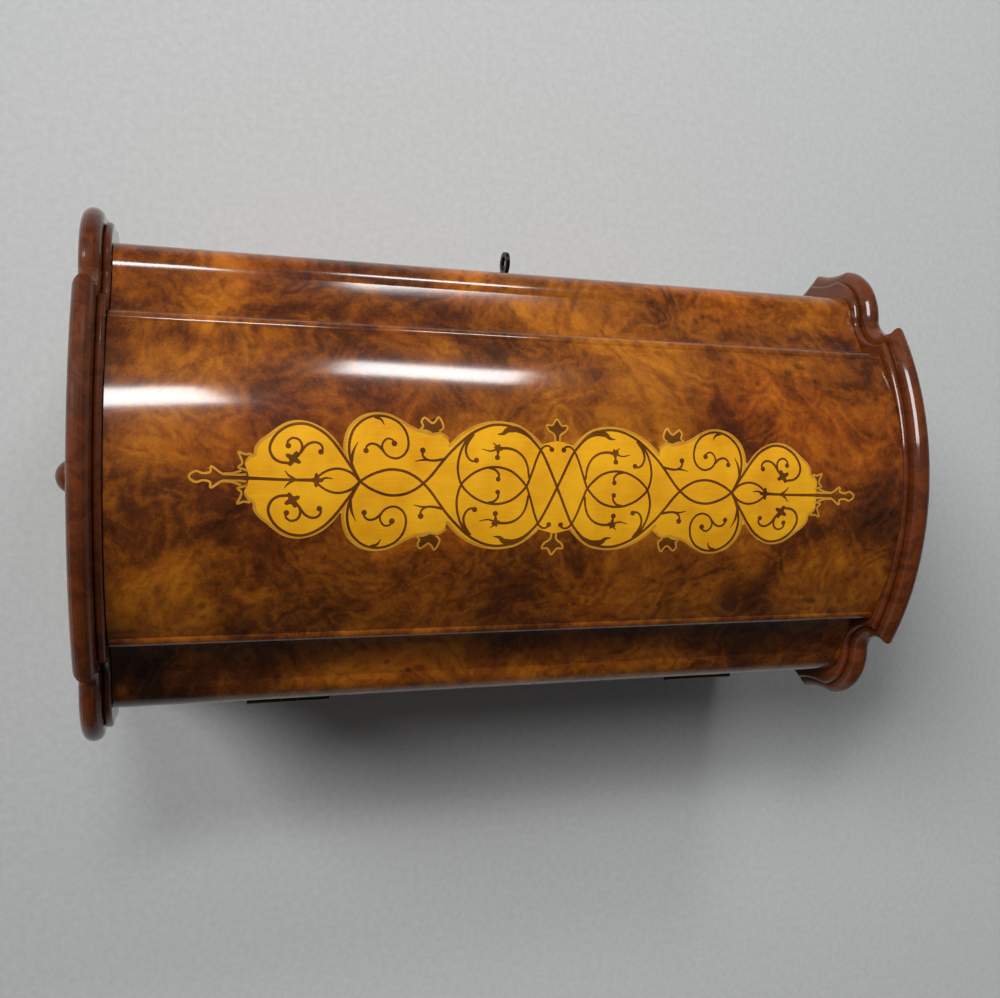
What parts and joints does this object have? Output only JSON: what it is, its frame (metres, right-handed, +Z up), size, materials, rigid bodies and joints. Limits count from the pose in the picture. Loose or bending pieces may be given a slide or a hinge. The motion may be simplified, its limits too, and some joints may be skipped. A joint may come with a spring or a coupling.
{
  "type": "cylinder music box",
  "caption": "Lever-wound cylinder music box in a veneered case with a domed, inlaid lid, moulded end boards, a lock with its key and a stop knob.",
  "frame": {"origin": "on the surface that the box stands on, under the middle of the whole box", "axes": "+Z up, +X along the case towards the end with the stop knob, -Y out of the front with the keyhole"},
  "size_m": [0.64, 0.3746, 0.311],
  "materials": {
    "moulding": "french polished mahogany",
    "veneer": "french polished burr walnut veneer",
    "inner_wood": "waxed",
    "marquetry": "polished satinwood inlay",
    "turned_wood": "polished",
    "brass": "lacquered",
    "steel": "polished",
    "iron": "bronzed"
  },
  "bodies": {
    "case": {"left_end_board": "moulding", "right_end_board": "moulding", "front_board": "veneer", "back_board": "veneer", "bottom_board": "inner_wood", "front_base_moulding": "moulding", "back_base_moulding": "moulding", "left_partition": "inner_wood", "right_partition": "inner_wood", "lock_case": "brass", "keyhole_escutcheon": "brass", "hinge_case_leaves": "brass", "hinge_pins": "steel", "case_screws": "steel", "bedplate": "iron", "bed_posts": "iron", "movement_screws": "steel", "left_bearing": "brass", "right_bearing": "brass", "barrel_bracket": "brass", "comb_base": "iron", "comb": "steel", "governor_frame": "brass", "control_frame": "brass", "control_shaft": "steel"},
    "lid": {"lid_shell": "veneer", "lid_left_end": "inner_wood", "lid_right_end": "inner_wood", "lid_marquetry": "marquetry", "hinge_lid_leaves": "brass", "lid_link_plate": "brass", "lid_screws": "steel"},
    "key": {"key": "steel"},
    "lock_bolt": {"lock_bolt": "steel"},
    "cylinder_arbor": {"cylinder_arbor": "steel", "cylinder_pinion": "brass", "governor_drive_wheel": "brass"},
    "tune_cylinder": {"tune_cylinder": "brass", "cylinder_caps": "brass"},
    "spring_barrel": {"spring_barrel": "brass", "barrel_cover": "brass", "mainspring": "steel"},
    "winding_arbor": {"winding_arbor": "steel", "ratchet_wheel": "steel"},
    "winding_lever": {"winding_lever": "iron", "lever_grip": "turned_wood"},
    "click": {"click": "steel"},
    "governor_first_wheel": {"governor_first_wheel": "brass"},
    "governor_second_wheel": {"governor_second_wheel": "brass"},
    "fly": {"endless_screw": "steel", "air_brake": "brass"},
    "stop_slide": {"stop_rod": "steel", "stop_knob": "turned_wood"},
    "stop_lever": {"stop_lever": "iron"},
    "change_lever": {"change_lever": "iron"}
  },
  "joints": [
    {"name": "lid_open", "type": "hinge", "parent": "case", "child": "lid", "pos_m": [-0.01, 0.1625, 0.20015], "axis": [-1, 0, 0], "range_deg": [0, 95]},
    {"name": "key_turn", "type": "hinge", "parent": "case", "child": "key", "pos_m": [-0.01, -0.16, 0.178], "axis": [0, 1, 0], "range_deg": [0, 180]},
    {"name": "bolt_throw", "type": "slide", "parent": "case", "child": "lock_bolt", "axis": [1, 0, 0], "range_m": [0, 0.0066]},
    {"name": "cylinder_turn", "type": "hinge", "parent": "case", "child": "cylinder_arbor", "pos_m": [-0.01, -0.005, 0.118], "axis": [1, 0, 0], "continuous": true},
    {"name": "tune_change", "type": "slide", "parent": "cylinder_arbor", "child": "tune_cylinder", "axis": [1, 0, 0], "range_m": [0, 0.0024]},
    {"name": "barrel_turn", "type": "hinge", "parent": "case", "child": "spring_barrel", "pos_m": [-0.195, 0.04, 0.118], "axis": [1, 0, 0], "continuous": true},
    {"name": "wind_stroke", "type": "hinge", "parent": "case", "child": "winding_lever", "pos_m": [-0.255, 0.04, 0.118], "axis": [-1, 0, 0], "range_deg": [0, 60]},
    {"name": "arbor_wind", "type": "hinge", "parent": "case", "child": "winding_arbor", "pos_m": [-0.21, 0.04, 0.118], "axis": [-1, 0, 0], "range_deg": [0, 60]},
    {"name": "click_lift", "type": "hinge", "parent": "case", "child": "click", "pos_m": [-0.225, 0.064, 0.143], "axis": [-1, 0, 0], "range_deg": [0, 12]},
    {"name": "first_wheel_turn", "type": "hinge", "parent": "case", "child": "governor_first_wheel", "pos_m": [0.19, 0.0286, 0.118], "axis": [1, 0, 0], "continuous": true},
    {"name": "second_wheel_turn", "type": "hinge", "parent": "case", "child": "governor_second_wheel", "pos_m": [0.19, 0.0421, 0.118], "axis": [1, 0, 0], "continuous": true},
    {"name": "fly_turn", "type": "hinge", "parent": "case", "child": "fly", "pos_m": [0.203, 0.05308, 0.118], "axis": [0, 0, 1], "continuous": true},
    {"name": "stop_pull", "type": "slide", "parent": "case", "child": "stop_slide", "axis": [1, 0, 0], "range_m": [0, 0.008]},
    {"name": "stop_rock", "type": "hinge", "parent": "case", "child": "stop_lever", "pos_m": [0.252, 0, 0.08], "axis": [0, 1, 0], "range_deg": [0, 4.2]},
    {"name": "change_set", "type": "hinge", "parent": "case", "child": "change_lever", "pos_m": [0.252, -0.038, 0.08], "axis": [0, 1, 0], "range_deg": [0, 12]}
  ],
  "couplings": [
    {"joint": "bolt_throw", "follows": "key_turn", "m_per_rad": 0.0019},
    {"joint": "barrel_turn", "follows": "cylinder_turn", "ratio": -0.25},
    {"joint": "first_wheel_turn", "follows": "cylinder_turn", "ratio": -6},
    {"joint": "second_wheel_turn", "follows": "cylinder_turn", "ratio": 12},
    {"joint": "fly_turn", "follows": "cylinder_turn", "ratio": 144},
    {"joint": "arbor_wind", "follows": "wind_stroke", "ratio": 1},
    {"joint": "stop_rock", "follows": "stop_pull", "rad_per_m": 9.0909}
  ]
}
